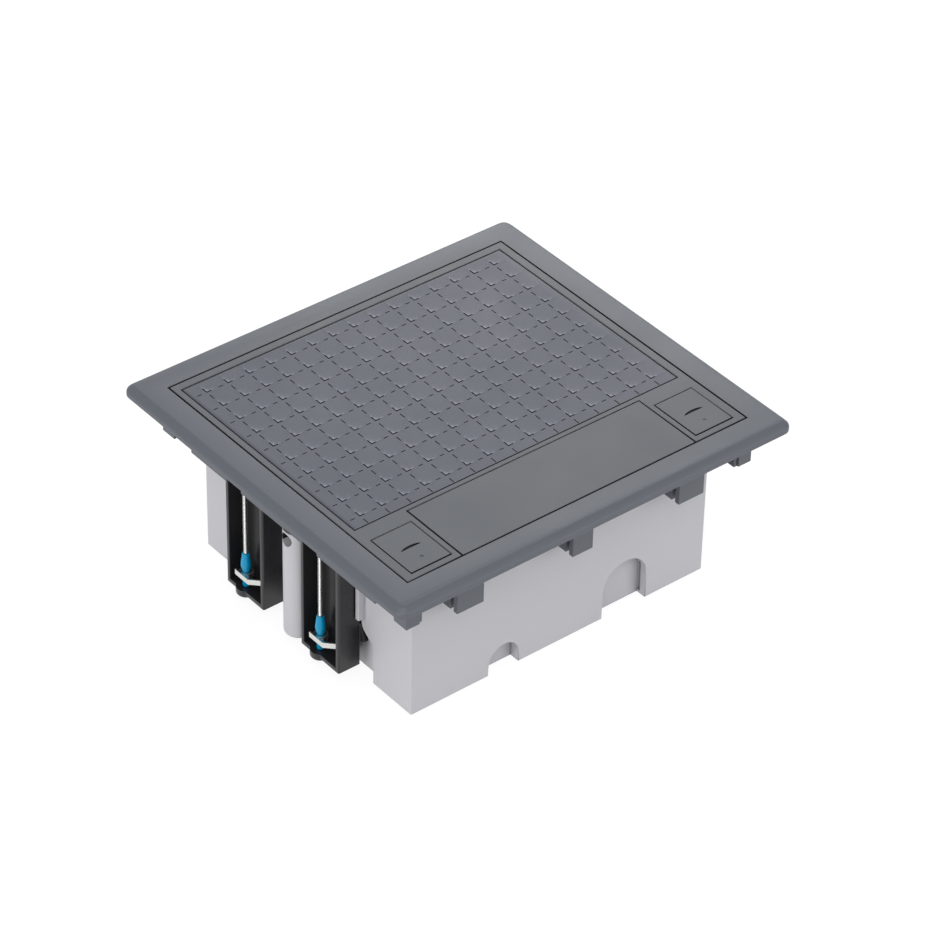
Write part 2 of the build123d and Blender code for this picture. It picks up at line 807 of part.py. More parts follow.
for side, turn in (("left", 0), ("right", 180)):
    for k, y in enumerate(claw_ys, 1):
        for kind, make in (("housing", make_claw_housing), ("screw", make_claw_screw),
                           ("carrier", make_claw_carrier), ("plate", make_claw_plate)):
            nodes[f"claw_{kind}_{side}_{k}"] = Rot(0, 0, turn) * make(y)

nodes["lid_hinge_pins"] = Compound([
    bar_x(lid_pin_r, axis_lid_y, axis_lid_z, s * (half_lid_w - lid_pin_l / 2),
          s * (half_lid_w + lid_pin_l / 2))
    for s in (-1, 1)])
nodes["frame_screws"] = pair(make_frame_screw())
nodes["frame_nuts"] = pair(make_frame_nut())
nodes["latch_spring_left"] = make_latch_spring(-1)
nodes["latch_spring_right"] = make_latch_spring(1)

for name, shape in nodes.items():
    export_step(shape, "parts/" + name + ".step")
    box = shape.bounding_box()
    print(f"{name:24s} solids {len(shape.solids())} valid {shape.is_valid} "
          f"x {box.min.X:.1f}..{box.max.X:.1f} y {box.min.Y:.1f}..{box.max.Y:.1f} "
          f"z {box.min.Z:.1f}..{box.max.Z:.1f}")
print(len(nodes), "nodes")
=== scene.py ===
# %% [markdown]
# # A floor socket box
#
# The box sits in a floor: a lid in a bevelled frame on top, a tub with sockets below, and
# claws at both sides that grip under the floor panel. The solids come from the CAD model.
# Here they get their finishes, their rounded edges and the fine relief that the model leaves
# out.

import bpy
import bmesh
import json
import math
from mathutils import Matrix, Vector

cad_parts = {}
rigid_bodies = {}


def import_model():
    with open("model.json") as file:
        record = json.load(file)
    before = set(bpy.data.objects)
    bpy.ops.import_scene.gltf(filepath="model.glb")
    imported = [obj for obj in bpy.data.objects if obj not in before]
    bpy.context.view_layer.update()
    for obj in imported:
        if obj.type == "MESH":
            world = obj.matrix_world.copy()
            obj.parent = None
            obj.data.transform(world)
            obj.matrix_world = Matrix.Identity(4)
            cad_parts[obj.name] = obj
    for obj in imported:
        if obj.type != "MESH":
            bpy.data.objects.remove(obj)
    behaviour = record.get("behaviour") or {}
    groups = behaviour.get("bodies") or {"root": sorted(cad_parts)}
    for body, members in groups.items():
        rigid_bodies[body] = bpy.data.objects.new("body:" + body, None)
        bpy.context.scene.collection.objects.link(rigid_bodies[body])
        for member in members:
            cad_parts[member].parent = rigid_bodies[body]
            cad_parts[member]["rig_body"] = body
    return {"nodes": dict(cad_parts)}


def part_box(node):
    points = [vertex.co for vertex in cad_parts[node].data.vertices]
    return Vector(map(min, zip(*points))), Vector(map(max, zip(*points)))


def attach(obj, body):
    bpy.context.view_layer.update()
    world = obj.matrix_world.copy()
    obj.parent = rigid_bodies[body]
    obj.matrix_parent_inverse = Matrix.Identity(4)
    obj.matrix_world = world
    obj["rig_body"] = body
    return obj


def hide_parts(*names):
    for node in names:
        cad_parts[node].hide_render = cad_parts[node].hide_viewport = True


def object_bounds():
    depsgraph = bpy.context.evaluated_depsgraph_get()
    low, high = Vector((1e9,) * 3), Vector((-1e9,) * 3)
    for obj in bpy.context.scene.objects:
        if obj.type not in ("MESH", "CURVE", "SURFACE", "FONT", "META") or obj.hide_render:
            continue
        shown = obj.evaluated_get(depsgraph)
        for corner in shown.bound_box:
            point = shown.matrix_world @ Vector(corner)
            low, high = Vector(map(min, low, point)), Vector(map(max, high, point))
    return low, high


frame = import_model()
nodes = frame["nodes"]
cad_low, cad_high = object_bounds()
print(len(nodes), "nodes, box", [round(v * 1000, 1) for v in cad_high - cad_low], "mm")

MM = 0.001

# %% [markdown]
# ## Camera
#
# The photograph was taken with a long lens from the front left corner, looking down. The
# three directions below came from matching the corners of the frame and of the tub with the
# picture. The long lens keeps the far edges almost as large as the near ones.

# %% Camera
camera_data = bpy.data.cameras.new("camera")
camera_data.lens = 160.83
camera_data.sensor_width = 36.0
camera = bpy.data.objects.new("camera", camera_data)
bpy.context.scene.collection.objects.link(camera)
right = Vector((0.78111036, -0.62416302, 0.01694512))
up = Vector((0.369728, 0.48422545, 0.79298608))
forward = Vector((0.50315785, 0.61314455, -0.60900405))
turn = Matrix((right, up, -forward)).transposed()
camera.matrix_world = Matrix.Translation((-0.994398, -1.222573, 1.262402)) @ turn.to_4x4()
camera_data.clip_start, camera_data.clip_end = 0.05, 20
bpy.context.scene.camera = camera
print("camera at", [round(v, 3) for v in camera.location])

# %% [markdown]
# ## Floor and light
#
# The background of the photograph is pure white with hardly a shadow. The floor is a pale
# plane that the camera sees as almost white, while the object gets only the plain light of
# the room. Four soft lamps and a pale world do the rest: one lamp stands low behind the
# object and gives the lid its sheen, one hangs above, and two light the front and the left.

# %% Stage
bpy.ops.mesh.primitive_plane_add(size=24, location=(0, 0, -0.0004))
floor = bpy.context.object
floor.name = "floor"


def calc(tree, operation, *values):
    """The result of a math node. Each value is a number or the output of another node."""
    node = tree.nodes.new("ShaderNodeMath")
    node.operation = operation
    for socket, value in zip(node.inputs, values):
        if isinstance(value, (int, float)):
            socket.default_value = value
        else:
            tree.links.new(value, socket)
    return node.outputs[0]


def floor_material():
    """Pale floor: nearly white to the camera and in reflections, plain to all other light."""
    mat = bpy.data.materials.new("pale_floor")
    mat.use_nodes = True
    tree = mat.node_tree
    tree.nodes.clear()
    path = tree.nodes.new("ShaderNodeLightPath")
    seen = path.outputs["Is Camera Ray"]
    for ray in ("Is Glossy Ray", "Is Transmission Ray"):
        seen = calc(tree, "MAXIMUM", seen, path.outputs[ray])
    plain = tree.nodes.new("ShaderNodeBsdfDiffuse")
    plain.inputs["Color"].default_value = (0.72, 0.72, 0.73, 1)
    shade = tree.nodes.new("ShaderNodeBsdfDiffuse")
    shade.inputs["Color"].default_value = (0.16, 0.16, 0.16, 1)
    glow = tree.nodes.new("ShaderNodeEmission")
    glow.inputs["Color"].default_value = (1, 1, 1, 1)
    glow.inputs["Strength"].default_value = 0.9
    both = tree.nodes.new("ShaderNodeAddShader")
    tree.links.new(shade.outputs[0], both.inputs[0])
    tree.links.new(glow.outputs[0], both.inputs[1])
    mix = tree.nodes.new("ShaderNodeMixShader")
    tree.links.new(seen, mix.inputs[0])
    tree.links.new(plain.outputs[0], mix.inputs[1])
    tree.links.new(both.outputs[0], mix.inputs[2])
    out = tree.nodes.new("ShaderNodeOutputMaterial")
    tree.links.new(mix.outputs[0], out.inputs[0])
    return mat


floor.data.materials.append(floor_material())

# %% World and lamps
world = bpy.data.worlds.new("studio")
bpy.context.scene.world = world
world.use_nodes = True
world.node_tree.nodes.clear()
path = world.node_tree.nodes.new("ShaderNodeLightPath")
air = world.node_tree.nodes.new("ShaderNodeBackground")
air.inputs["Color"].default_value = (0.97, 0.98, 1.0, 1)
air.inputs["Strength"].default_value = 0.62
white = world.node_tree.nodes.new("ShaderNodeBackground")
white.inputs["Color"].default_value = (1, 1, 1, 1)
white.inputs["Strength"].default_value = 1.0
pick = world.node_tree.nodes.new("ShaderNodeMixShader")
sky = world.node_tree.nodes.new("ShaderNodeOutputWorld")
world.node_tree.links.new(path.outputs["Is Camera Ray"], pick.inputs[0])
world.node_tree.links.new(air.outputs[0], pick.inputs[1])
world.node_tree.links.new(white.outputs[0], pick.inputs[2])
world.node_tree.links.new(pick.outputs[0], sky.inputs[0])


middle_of_tub = Vector((0, 0, 0.05))


def softbox(name, place, size, power):
    """A square lamp that faces the object."""
    data = bpy.data.lights.new(name, "AREA")
    data.size = size
    data.energy = power
    lamp = bpy.data.objects.new(name, data)
    bpy.context.scene.collection.objects.link(lamp)
    lamp.location = place
    look = middle_of_tub - Vector(place)
    lamp.rotation_mode = "QUATERNION"
    lamp.rotation_quaternion = look.to_track_quat("-Z", "Y")


softbox("sheen", (0.75, 0.85, 0.62), 0.6, 3.9)
softbox("above", (-0.9, -1.2, 2.5), 1.6, 16)
softbox("front", (1.3, -2.1, 0.9), 1.4, 12.5)
softbox("left", (-2.2, -0.4, 0.8), 1.4, 19)
bpy.context.scene.view_settings.view_transform = "Standard"


# %% [markdown]
# ## Moulded plastic
#
# Nearly every piece is moulded. A mould is spark eroded or polished, so its plastic has a
# fine even grain, small changes of gloss, and colour that is almost, but not quite, the same
# all over. One group makes those effects, and each plastic sets its own values.

# %% Group for moulded surfaces
def new_group(name, ins, outs):
    """A shader node group with the sockets that are listed as (kind, name, value)."""
    tree = bpy.data.node_groups.new(name, "ShaderNodeTree")
    for kind, label, value in ins:
        socket = tree.interface.new_socket(name=label, in_out="INPUT", socket_type="NodeSocket" + kind)
        socket.default_value = value
    for kind, label in outs:
        tree.interface.new_socket(name=label, in_out="OUTPUT", socket_type="NodeSocket" + kind)
    return tree, tree.nodes.new("NodeGroupInput"), tree.nodes.new("NodeGroupOutput")


def scaled(tree, color, factor):
    """A colour times a factor, both of them outputs of other nodes."""
    node = tree.nodes.new("ShaderNodeVectorMath")
    node.operation = "SCALE"
    tree.links.new(color, node.inputs[0])
    tree.links.new(factor, node.inputs["Scale"])
    return node.outputs[0]


def make_moulded_group():
    """Grain, mottled colour and uneven gloss of a moulded surface, with sizes in millimetres."""
    tree, gi, go = new_group(
        "moulded_surface",
        [("Color", "Color", (0.2, 0.2, 0.2, 1)), ("Float", "Roughness", 0.5), ("Float", "Grain Size", 0.4),
         ("Float", "Grain Depth", 0.02), ("Float", "Mottle", 0.06)],
        [("Color", "Color"), ("Float", "Roughness"), ("Vector", "Normal")])
    link = tree.links.new
    patches_per_metre, gloss_swing = 26.0, 0.18
    place = tree.nodes.new("ShaderNodeTexCoord").outputs["Object"]
    grain = tree.nodes.new("ShaderNodeTexNoise")
    grain.inputs["Detail"].default_value = 2.0
    link(place, grain.inputs["Vector"])
    link(calc(tree, "DIVIDE", 1 / MM, gi.outputs["Grain Size"]), grain.inputs["Scale"])
    bump = tree.nodes.new("ShaderNodeBump")
    bump.inputs["Strength"].default_value = 1.0
    link(calc(tree, "MULTIPLY", gi.outputs["Grain Depth"], MM), bump.inputs["Distance"])
    link(grain.outputs["Fac"], bump.inputs["Height"])
    cloud = tree.nodes.new("ShaderNodeTexNoise")
    cloud.inputs["Scale"].default_value = patches_per_metre
    cloud.inputs["Detail"].default_value = 4.0
    link(place, cloud.inputs["Vector"])
    spread = calc(tree, "SUBTRACT", cloud.outputs["Fac"], 0.5)
    tone = calc(tree, "MULTIPLY_ADD", spread, gi.outputs["Mottle"], 1.0)
    link(scaled(tree, gi.outputs["Color"], tone), go.inputs["Color"])
    gloss = calc(tree, "MULTIPLY_ADD", spread, gloss_swing, gi.outputs["Roughness"])
    link(gloss, go.inputs["Roughness"])
    link(bump.outputs[0], go.inputs["Normal"])
    return tree


moulded_surface = make_moulded_group()


def srgb(r, g, b):
    """A colour read from the picture as 0-255 levels, as the linear value a shader takes."""
    return tuple(((v / 255 + 0.055) / 1.055) ** 2.4 if v > 10 else v / 255 / 12.92 for v in (r, g, b)) + (1,)


# %% [markdown]
# ## Painted shade in joints and grooves
#
# Where two pieces meet, and down in a narrow groove, little light gets in. The lines round the
# lid and the flap look almost black for that reason, and this shade is painted into the colour.
# An ambient occlusion node with a reach of about a millimetre finds such places, from the
# shapes alone, so the lines stay dark from every side and also in the exported model. Where
# less than 60 % of the surroundings are open the painted shade is full, and from 93 % on there
# is none.

# %% Group for painted shade in joints
def make_joint_group():
    """Paints shade into a colour in gaps and grooves that are narrower than the reach, in millimetres."""
    tree, gi, go = new_group(
        "painted_joint_shade",
        [("Color", "Color", (0.2, 0.2, 0.2, 1)), ("Float", "Reach", 1.2), ("Float", "Depth", 0.8)],
        [("Color", "Color")])
    link = tree.links.new
    # Share of open surroundings below which the painted shade is full, and above which there is none.
    fully_shaded, unshaded = 0.6, 0.93
    open_sky = tree.nodes.new("ShaderNodeAmbientOcclusion")
    open_sky.samples = 4
    link(calc(tree, "MULTIPLY", gi.outputs["Reach"], MM), open_sky.inputs["Distance"])
    shade = tree.nodes.new("ShaderNodeMapRange")
    shade.inputs["From Min"].default_value = fully_shaded
    shade.inputs["From Max"].default_value = unshaded
    shade.inputs["To Min"].default_value = 1.0
    shade.inputs["To Max"].default_value = 0.0
    link(open_sky.outputs["AO"], shade.inputs["Value"])
    amount = calc(tree, "MULTIPLY", shade.outputs[0], gi.outputs["Depth"])
    keep = calc(tree, "SUBTRACT", 1.0, amount)
    link(scaled(tree, gi.outputs["Color"], keep), go.inputs["Color"])
    return tree


painted_joint_shade = make_joint_group()


# %% A plastic from both groups
def plastic(name, color, roughness, grain=0.35, depth=0.02, mottle=0.06, reach=1.2, painted_shade=0.8,
            specular=0.5):
    """A moulded plastic with its own colour, gloss, grain and painted shade in the joints."""
    mat = bpy.data.materials.new(name)
    mat.use_nodes = True
    tree = mat.node_tree
    shader = tree.nodes["Principled BSDF"]
    surface = tree.nodes.new("ShaderNodeGroup")
    surface.node_tree = moulded_surface
    surface.inputs["Color"].default_value = color
    surface.inputs["Roughness"].default_value = roughness
    surface.inputs["Grain Size"].default_value = grain
    surface.inputs["Grain Depth"].default_value = depth
    surface.inputs["Mottle"].default_value = mottle
    # Painted shade in the joints and grooves of this plastic.
    joints = tree.nodes.new("ShaderNodeGroup")
    joints.node_tree = painted_joint_shade
    joints.inputs["Reach"].default_value = reach
    joints.inputs["Depth"].default_value = painted_shade
    tree.links.new(surface.outputs["Color"], joints.inputs["Color"])
    tree.links.new(joints.outputs["Color"], shader.inputs["Base Color"])
    tree.links.new(surface.outputs["Roughness"], shader.inputs["Roughness"])
    tree.links.new(surface.outputs["Normal"], shader.inputs["Normal"])
    shader.inputs["Specular IOR Level"].default_value = specular
    return mat


# %% The plastics
# Where a plastic sets a reach and a last depth, they say how far the painted shade in its joints reaches and
# how dark it gets.
frame_plastic = plastic("frame_grey", srgb(90, 94, 101), 0.46, reach=1.1, painted_shade=0.95)
lid_plastic = plastic("lid_grey", srgb(83, 87, 92), 0.46, reach=1.3, painted_shade=0.98)
insert_plastic = plastic("insert_grey", srgb(83, 86, 96), 0.5, grain=0.5, reach=0.9, painted_shade=0.7)
tub_plastic = plastic("tub_grey", srgb(196, 195, 199), 0.42, grain=0.3, depth=0.008, mottle=0.03, painted_shade=0.5)
claw_plastic = plastic("claw_black", srgb(34, 34, 36), 0.3, grain=0.3, depth=0.006)
blue_plastic = plastic("carrier_blue", srgb(0, 150, 196), 0.14, depth=0.003, painted_shade=0.3, specular=0.35)
# Painted shade for the tub's deep nut pockets: a darker plastic whose painted shade reaches 14 mm.
pocket_shade_plastic = plastic("pocket_painted_shade", srgb(150, 148, 148), 0.5, reach=14, painted_shade=0.97)
carrier_plastic = plastic("carrier_grey", srgb(150, 152, 155), 0.5)
shutter_plastic = plastic("shutter_dark", srgb(52, 53, 55), 0.4, depth=0.004)
module_plastic = plastic("module_white", srgb(232, 232, 228), 0.3, depth=0.004, mottle=0.008, painted_shade=0.6)


# %% [markdown]
# ## Painted highlights on the tips
#
# In the photograph the raised tips of the insert are paler than the field between them, as
# they catch the light, and that highlight is painted into the colour. Height alone finds them:
# the same plastic gets lighter over the last fifth of a millimetre, so no second material is
# laid on small faces.

# %% Painted highlights on the tips of the insert
def paint_highlight_above(mat, low, high, gain):
    """Paints a highlight on a plastic towards its highest points, between two heights in millimetres."""
    tree = mat.node_tree
    shader = tree.nodes["Principled BSDF"]
    before = shader.inputs["Base Color"].links[0].from_socket
    place = tree.nodes.new("ShaderNodeTexCoord")
    axes = tree.nodes.new("ShaderNodeSeparateXYZ")
    tree.links.new(place.outputs["Object"], axes.inputs[0])
    rise = tree.nodes.new("ShaderNodeMapRange")
    rise.inputs["From Min"].default_value = low * MM
    rise.inputs["From Max"].default_value = high * MM
    rise.inputs["To Min"].default_value = 1.0
    rise.inputs["To Max"].default_value = gain
    tree.links.new(axes.outputs["Z"], rise.inputs["Value"])
    tint = scaled(tree, before, rise.outputs[0])
    tree.links.new(tint, shader.inputs["Base Color"])


relief_lift = 0.22
tip_highlight_gain = 2.3
box_top = cad_high.z / MM
# Painted highlight on the raised tips of the insert.
paint_highlight_above(insert_plastic, box_top - 0.8 * relief_lift, box_top - 0.2 * relief_lift, tip_highlight_gain)

# %% [markdown]
# ## Zinc and steel
#
# The screws, nuts and claw plates are zinc plated: pale, with soft clouds in the gloss. The
# stiffener is galvanised sheet with large crystals, and the leaf springs and hinge pins are
# bare steel, which is darker. One noise drives colour, gloss and relief of each metal.

# %% Metals
def metal(name, color, roughness, cloud=300.0):
    """A plated or bare metal with clouded gloss, with this many clouds per metre."""
    smoother, rougher, darker, depth = 0.1, 0.14, 0.86, 0.004
    mat = bpy.data.materials.new(name)
    mat.use_nodes = True
    tree = mat.node_tree
    shader = tree.nodes["Principled BSDF"]
    shader.inputs["Metallic"].default_value = 1.0
    place = tree.nodes.new("ShaderNodeTexCoord")
    noise = tree.nodes.new("ShaderNodeTexNoise")
    noise.inputs["Scale"].default_value = cloud
    noise.inputs["Detail"].default_value = 3.0
    tree.links.new(place.outputs["Object"], noise.inputs["Vector"])
    gloss = tree.nodes.new("ShaderNodeMapRange")
    gloss.inputs["To Min"].default_value = roughness - smoother
    gloss.inputs["To Max"].default_value = roughness + rougher
    tree.links.new(noise.outputs["Fac"], gloss.inputs["Value"])
    tree.links.new(gloss.outputs[0], shader.inputs["Roughness"])
    ramp = tree.nodes.new("ShaderNodeValToRGB")
    ramp.color_ramp.elements[0].color = tuple(darker * v for v in color[:3]) + (1,)
    ramp.color_ramp.elements[1].color = color
    tree.links.new(noise.outputs["Fac"], ramp.inputs["Fac"])
    # Painted shade in the metal's joints and grooves, from the same group as the plastics.
    joints = tree.nodes.new("ShaderNodeGroup")
    joints.node_tree = painted_joint_shade
    joints.inputs["Reach"].default_value = 0.8
    joints.inputs["Depth"].default_value = 0.85
    tree.links.new(ramp.outputs[0], joints.inputs["Color"])
    tree.links.new(joints.outputs["Color"], shader.inputs["Base Color"])
    bump = tree.nodes.new("ShaderNodeBump")
    bump.inputs["Distance"].default_value = depth * MM
    tree.links.new(noise.outputs["Fac"], bump.inputs["Height"])
    tree.links.new(bump.outputs[0], shader.inputs["Normal"])
    return mat


zinc = metal("zinc", srgb(226, 226, 222), 0.3)
galvanised = metal("galvanised", srgb(190, 194, 198), 0.4, cloud=60.0)
spring_steel = metal("spring_steel", srgb(150, 148, 144), 0.32)

# %% Finishes on the CAD pieces
finish = {
    "frame": frame_plastic, "lid": lid_plastic, "cable_flap": lid_plastic, "latch": lid_plastic,
    "lid_insert": insert_plastic, "tub": tub_plastic, "stiffener": galvanised,
    "claw_housing": claw_plastic, "claw_screw": zinc, "claw_plate": zinc, "claw_carrier": blue_plastic,
    "carrier": carrier_plastic, "divider": carrier_plastic, "socket": module_plastic,
    "data_module": module_plastic, "blank_module": module_plastic, "frame_screws": zinc,
    "frame_nuts": zinc, "lid_hinge_pins": spring_steel, "latch_spring": spring_steel,
}


def finish_of(name):
    """The material whose key is the longest start of the piece's name."""
    keys = [k for k in finish if name.startswith(k)]
    return finish[max(keys, key=len)]


for name, obj in nodes.items():
    obj.data.materials.clear()
    obj.data.materials.append(finish_of(name))
print("finished", len(nodes), "nodes")

# %% [markdown]
# ## Tools for shaping
#
# The pieces below are shaped as by hand: something is selected, and an operator acts on it.
# Three small helpers do the selecting. All sizes are written in millimetres, as a maker
# reads them, and MM turns them into Blender's metres. Two places within SLACK of each other
# count as the same.

# %% Selecting
SLACK = 0.01


def pick(obj):
    """Makes this the only selected object, so that an operator acts on it alone."""
    bpy.ops.object.select_all(action="DESELECT")
    obj.select_set(True)
    bpy.context.view_layer.objects.active = obj


def edit(obj, kind="FACE"):
    """Opens a piece in edit mode with nothing selected."""
    pick(obj)
    bpy.ops.object.mode_set(mode="EDIT")
    bpy.ops.mesh.select_mode(type=kind)
    bpy.ops.mesh.select_all(action="DESELECT")


def choose(obj, test, kind="verts"):
    """Selects the vertices, edges or faces whose corners all pass the test, in millimetres."""
    shape = bmesh.from_edit_mesh(obj.data)
    for item in getattr(shape, kind):
        corners = [item] if kind == "verts" else item.verts
        item.select_set(all(test(v.co / MM) for v in corners))
    shape.select_flush_mode()
    bmesh.update_edit_mesh(obj.data)


def done(obj):
    """Back to object mode."""
    bpy.ops.object.mode_set(mode="OBJECT")
    return obj


def fit_in(obj, *names):
    """The piece stands for these CAD pieces, hides them and moves as they do."""
    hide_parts(*names)
    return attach(obj, nodes[names[0]]["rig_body"])


# %% [markdown]
# ## Rounded edges
#
# No moulded edge is perfectly sharp: it has a radius of a few tenths of a millimetre, and it
# catches a thin line of light. The CAD pieces have sharp edges, so each is copied, and its
# loose triangles are merged into whole faces. On most pieces a Bevel modifier then rounds
# every edge that turns by more than 35 degrees. Where edges lie closer together than a bevel
# is wide, its faces would run over one another, so on some pieces only chosen edges are
# rounded, in edit mode. The faces keep their own normals and stay flat beside the bevel.

# %% Copies with rounded edges
SHARP = math.radians(35)
BEVEL_STEPS = 2


def soften(obj, width):
    """Rounds the sharp edges by this width in millimetres and smooths the curved faces."""
    pick(obj)
    bpy.ops.object.shade_smooth_by_angle(angle=SHARP)
    edge = obj.modifiers.new("edges", "BEVEL")
    edge.width = width * MM
    edge.segments = BEVEL_STEPS
    edge.limit_method = "ANGLE"
    edge.angle_limit = SHARP
    edge.use_clamp_overlap = False
    edge.harden_normals = True
    bpy.ops.object.modifier_apply(modifier=edge.name)
    return obj


def merged(name):
    """A copy of a CAD piece with whole faces instead of loose triangles, open in edit mode."""
    obj = bpy.data.objects.new(name + "_piece", nodes[name].data.copy())
    bpy.context.scene.collection.objects.link(obj)
    pick(obj)
    if obj.data.has_custom_normals:
        bpy.ops.mesh.customdata_custom_splitnormals_clear()
    edit(obj)
    bpy.ops.mesh.select_all(action="SELECT")
    bpy.ops.mesh.remove_doubles(threshold=0.002 * MM)
    bpy.ops.mesh.dissolve_limited(angle_limit=math.radians(0.5))
    bpy.ops.mesh.select_all(action="DESELECT")
    return obj


def soften_some(obj, width, test):
    """Rounds only those sharp edges whose two ends, in millimetres, pass the test."""
    pick(obj)
    bpy.ops.object.shade_smooth_by_angle(angle=SHARP)
    edit(obj, "EDGE")
    shape = bmesh.from_edit_mesh(obj.data)
    for edge in shape.edges:
        a, b = (v.co / MM for v in edge.verts)
        edge.select_set(edge.calc_face_angle(0) > SHARP and test(a, b))
    bmesh.update_edit_mesh(obj.data)
    bpy.ops.mesh.bevel(offset=width * MM, segments=BEVEL_STEPS, harden_normals=True, clamp_overlap=False)
    return done(obj)


def on_top(a, b):
    """Whether an edge lies in the box's top face."""
    return min(a.z, b.z) > box_top - SLACK


def rounded(name, width):
    """A CAD piece's copy with rounded edges, in the CAD piece's place."""
    return fit_in(soften(done(merged(name)), width), name)


# %% [markdown]
# ## Frame
#
# The frame lies on the floor panel. Its outer edge falls away in a slope, so that nobody
# trips over it, and the slope meets the top in a soft turn of more than a millimetre. The
# edges at the slope's upper and lower end are rounded first, by a bevel in edit mode, and
# the small bevel on all other edges comes after it.

# %% Frame
def make_frame():
    """The frame, with soft turns above and below its slope and small radii on the other edges."""
    obj = merged("frame")
    slope_drop, top_turn, low_turn = 2.6, 1.4, 0.8
    opening_x, opening_y, inner_ring = 100.6, 91.5, 8

    def slope_edge(level):
        """Tests for a corner at this height, well outside the lid's opening."""
        return lambda c: (abs(c.z - level) < SLACK
                          and max(abs(c.x) - opening_x, abs(c.y) - opening_y) > inner_ring)

    bpy.ops.mesh.select_mode(type="EDGE")
    choose(obj, slope_edge(box_top), "edges")
    bpy.ops.mesh.bevel(offset=top_turn * MM, segments=4, clamp_overlap=True)
    bpy.ops.mesh.select_all(action="DESELECT")
    choose(obj, slope_edge(box_top - slope_drop), "edges")
    bpy.ops.mesh.bevel(offset=low_turn * MM, segments=3, clamp_overlap=True)
    soften(done(obj), 0.25)
    return fit_in(obj, "frame")


print("frame:", len(make_frame().data.polygons), "faces")

# %% [markdown]
# ## Lid and flap
#
# The lid is a moulded plate with ribs below, and the cable flap closes the way out for the
# cords. The light line round both comes from the edge of their top face, so that edge alone
# is rounded. The corners of the ribs stand too close together for a bevel, and they are seen
# only when the lid is up, so they stay as the CAD model has them.

# %% Lid and flap
for name, width in {"lid": 0.45, "cable_flap": 0.4}.items():
    piece = soften_some(done(merged(name)), width, on_top)
    fit_in(piece, name)
    print(name, len(piece.data.polygons), "faces")

# %% [markdown]
# ## Latches
#
# Each latch is a sprung tile with a shallow finger scoop. The CAD scoop is a full arc, and
# the real one is flatter, so the copy's scoop is squeezed towards its chord. A small round
# mark of the mould lies in front of it. It is cut with a Boolean modifier and a thin
# cylinder, which is simpler than moving faces about on a curved outline.

# %% Latches
def cut_with(obj, cutter):
    """Cuts the shape of one piece out of another and throws the cutter away."""
    pick(obj)
    hole = obj.modifiers.new("hole", "BOOLEAN")
    hole.operation = "DIFFERENCE"
    hole.object = cutter
    bpy.ops.object.modifier_apply(modifier=hole.name)
    bpy.data.objects.remove(cutter)


def round_bar(place, radius, height, sides):
    """A plain upright bar in millimetres, only ever used as a start or as a cutter."""
    bpy.ops.object.select_all(action="DESELECT")
    bpy.ops.mesh.primitive_cylinder_add(
        vertices=sides, radius=radius * MM, depth=height * MM, location=Vector(place) * MM)
    bpy.ops.object.transform_apply(location=True)
    return bpy.context.object


def make_latch(side):
    """A latch with a flatter scoop, the mould's round mark and a rounded top edge."""
    name = "latch_" + side
    low, high = (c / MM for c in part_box(name))
    middle, top = (low.x + high.x) / 2, high.z
    chord = low.y + 20.6
    scoop_half, scoop_reach, scoop_flatter = 7, 5, 0.45
    mark_aside, mark_back, mark_radius, mark_cut = -0.2, 12.7, 0.8, 0.4

    def in_scoop(c):
        at_side = min(abs(c.x - low.x), abs(c.x - high.x)) < 1
        return (c.z > top - 1 and abs(c.x - middle) < scoop_half and not at_side
                and chord - 0.2 < c.y < chord + scoop_reach)

    obj = merged(name)
    bpy.ops.mesh.select_mode(type="VERT")
    choose(obj, in_scoop)
    print(name, "scoop corners:", sum(v.select for v in bmesh.from_edit_mesh(obj.data).verts))
    bpy.ops.transform.resize(value=(1, scoop_flatter, 1), center_override=(0, chord * MM, 0))
    done(obj)
    mark = (middle + mark_aside, low.y + mark_back, top)
    cut_with(obj, round_bar(mark, mark_radius, mark_cut, 16))
    soften_some(obj, 0.15, on_top)
    return fit_in(obj, name)


for side in ("left", "right"):
    make_latch(side)

# %% [markdown]
# ## Relief of the insert
#
# The insert in the lid is pressed with a woven pattern that gives grip. It has 15 by 10
# crossings. At each one an L-shaped groove holds a corner that stands up a little, and two
# short grooves run towards it. One crossing is cut from a plane: bisect lays the lines, the
# groove faces are pushed down and the corner is lifted. Two Array modifiers repeat it, the
# front row is cut short where the insert ends, and the border and the sides are pulled from
# the open edge.

# %% One crossing of the pattern
weave = Vector((12.34, 13.1))


